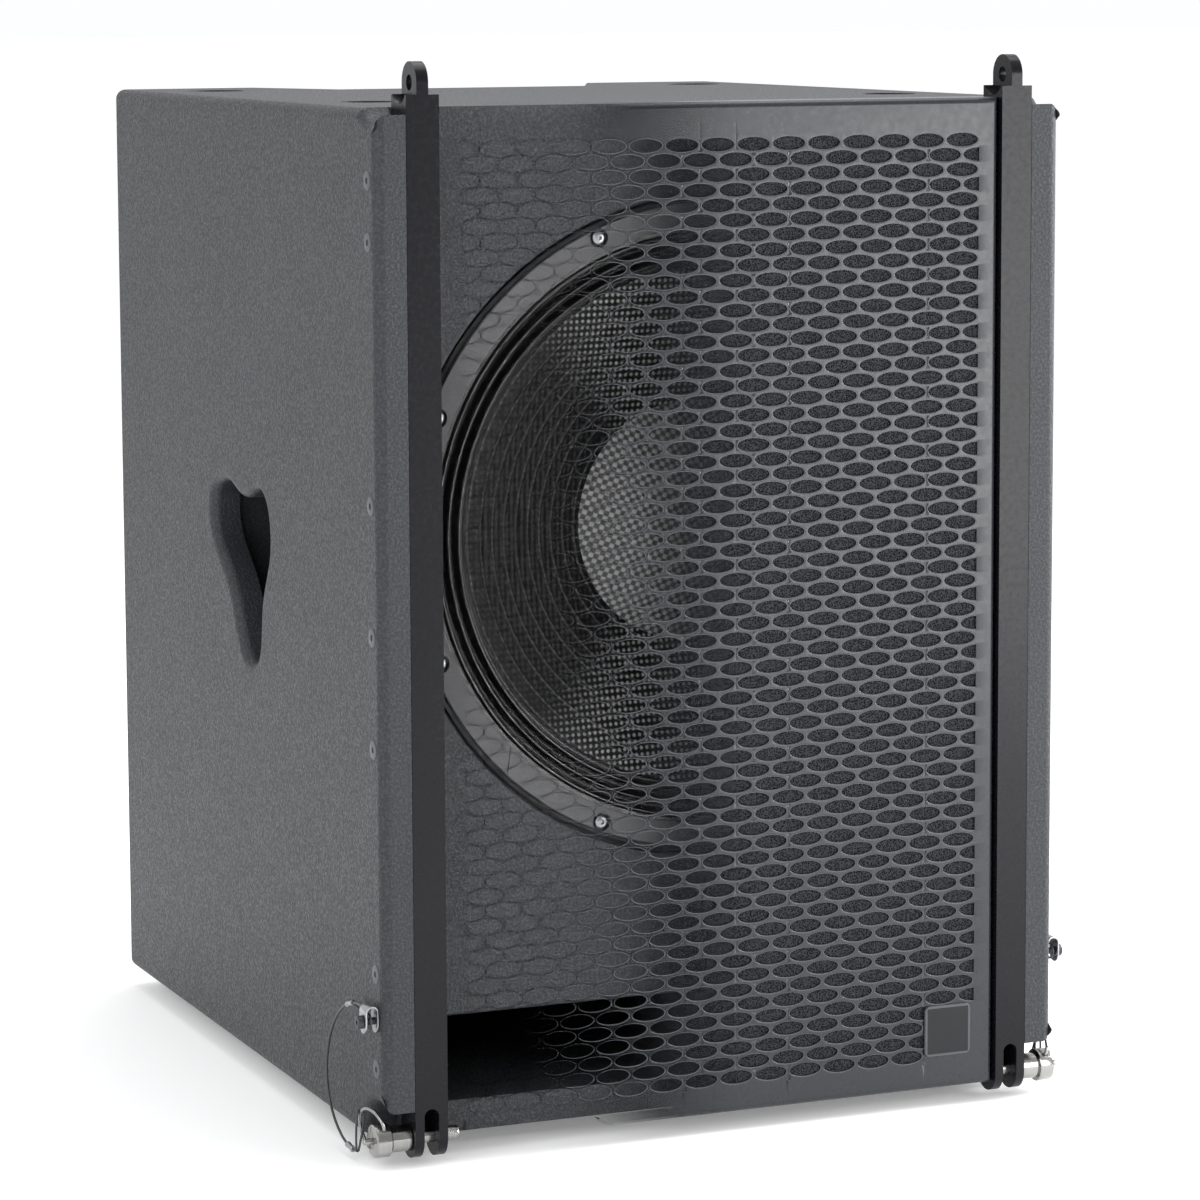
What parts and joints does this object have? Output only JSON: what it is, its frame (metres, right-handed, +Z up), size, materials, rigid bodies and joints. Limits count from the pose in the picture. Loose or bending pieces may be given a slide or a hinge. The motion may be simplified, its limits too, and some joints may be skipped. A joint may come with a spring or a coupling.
{
  "type": "line array speaker",
  "caption": "Flyable line array bass cabinet: ported plywood box, large woofer behind a pierced grille, front rigging bars with quick-release pins.",
  "frame": {"origin": "on the floor, under the middle of the cabinet's overall box, with the feet at z = 0", "axes": "+X to the right as seen from the front, +Y to the rear, +Z up"},
  "size_m": [0.5382, 0.6, 0.746],
  "materials": {
    "coated_plywood": "birch plywood under a textured charcoal coating",
    "black_steel": "satin black powder coat",
    "grille_steel": "satin charcoal powder coat",
    "acoustic_foam": "open-cell reticulated foam",
    "badge_plate": "satin dark grey plate",
    "cast_frame": "black coated casting",
    "gasket_ring": "grey gasket",
    "treated_cloth": "doped cloth, glossy black",
    "woven_cone": "woven fibre composite",
    "woven_cap": "woven fibre composite",
    "spider_cloth": "resin cloth",
    "coil_wire": "enamelled copper winding on a former",
    "motor_steel": "plated steel",
    "ferrite": "ferrite ring",
    "black_screw": "black oxide steel",
    "rubber_foot": "black rubber",
    "socket_plastic": "black glass-filled plastic",
    "clip_aluminium": "bare aluminium",
    "pin_steel": "stainless steel",
    "lanyard_cover": "black coated wire rope"
  },
  "bodies": {
    "cabinet": {"side_panel_left": "coated_plywood", "side_panel_right": "coated_plywood", "top_panel": "coated_plywood", "bottom_panel": "coated_plywood", "channel_wall_left": "coated_plywood", "channel_wall_right": "coated_plywood", "rear_wing_left": "coated_plywood", "rear_wing_right": "coated_plywood", "channel_back": "coated_plywood", "port_shelf": "coated_plywood", "cross_brace": "coated_plywood", "baffle": "coated_plywood", "hand_cup_left": "coated_plywood", "hand_cup_right": "coated_plywood", "rigging_bar_left": "black_steel", "rigging_bar_right": "black_steel", "grille": "grille_steel", "grille_foam": "acoustic_foam", "badge": "badge_plate", "driver_basket": "cast_frame", "driver_gasket": "gasket_ring", "surround": "treated_cloth", "spider": "spider_cloth", "top_plate": "motor_steel", "back_plate": "motor_steel", "magnet": "ferrite", "connector_plate": "black_steel", "socket_input": "socket_plastic", "socket_link": "socket_plastic", "splay_bracket": "black_steel", "splay_pivot": "pin_steel", "driver_bolt_1": "black_screw", "driver_bolt_2": "black_screw", "driver_bolt_3": "black_screw", "driver_bolt_4": "black_screw", "driver_bolt_5": "black_screw", "driver_bolt_6": "black_screw", "driver_bolt_7": "black_screw", "driver_bolt_8": "black_screw", "foot_front_left": "rubber_foot", "foot_front_right": "rubber_foot", "foot_rear_left": "rubber_foot", "foot_rear_right": "rubber_foot", "lanyard_clip_left": "clip_aluminium", "clip_screw_left": "black_screw", "lanyard_left": "lanyard_cover", "lanyard_clip_right": "clip_aluminium", "clip_screw_right": "black_screw", "lanyard_right": "lanyard_cover"},
    "cone_drive": {"cone": "woven_cone", "dust_cap": "woven_cap", "voice_coil": "coil_wire"},
    "splay_link": {"splay_link": "black_steel"},
    "pin_left": {"pin_left": "pin_steel"},
    "ring_left": {"pull_ring_left": "pin_steel"},
    "button_left": {"release_button_left": "pin_steel"},
    "pin_right": {"pin_right": "pin_steel"},
    "ring_right": {"pull_ring_right": "pin_steel"},
    "button_right": {"release_button_right": "pin_steel"}
  },
  "joints": [
    {"name": "cone_travel", "type": "slide", "parent": "cabinet", "child": "cone_drive", "axis": [0, -1, 0], "range_m": [-0.008, 0.008], "stiffness_N_per_m": 6000, "deforming": ["surround", "spider"]},
    {"name": "pin_slide_left", "type": "slide", "parent": "cabinet", "child": "pin_left", "axis": [-1, 0, 0], "range_m": [0, 0.06], "deforming": ["lanyard_left"]},
    {"name": "ring_swing_left", "type": "hinge", "parent": "pin_left", "child": "ring_left", "pos_m": [-0.2535, -0.286, 0.0195], "axis": [0, -0.6428, 0.766], "range_deg": [0, 140]},
    {"name": "button_press_left", "type": "slide", "parent": "pin_left", "child": "button_left", "axis": [1, 0, 0], "range_m": [0, 0.003], "stiffness_N_per_m": 800},
    {"name": "pin_slide_right", "type": "slide", "parent": "cabinet", "child": "pin_right", "axis": [1, 0, 0], "range_m": [0, 0.06], "deforming": ["lanyard_right"]},
    {"name": "ring_swing_right", "type": "hinge", "parent": "pin_right", "child": "ring_right", "pos_m": [0.2535, -0.286, 0.0195], "axis": [0, 0.6428, -0.766], "range_deg": [0, 140]},
    {"name": "button_press_right", "type": "slide", "parent": "pin_right", "child": "button_right", "axis": [-1, 0, 0], "range_m": [0, 0.003], "stiffness_N_per_m": 800},
    {"name": "splay_link_swing", "type": "hinge", "parent": "cabinet", "child": "splay_link", "pos_m": [0, 0.245, 0.6605], "axis": [1, 0, 0], "range_deg": [0, 180]}
  ]
}
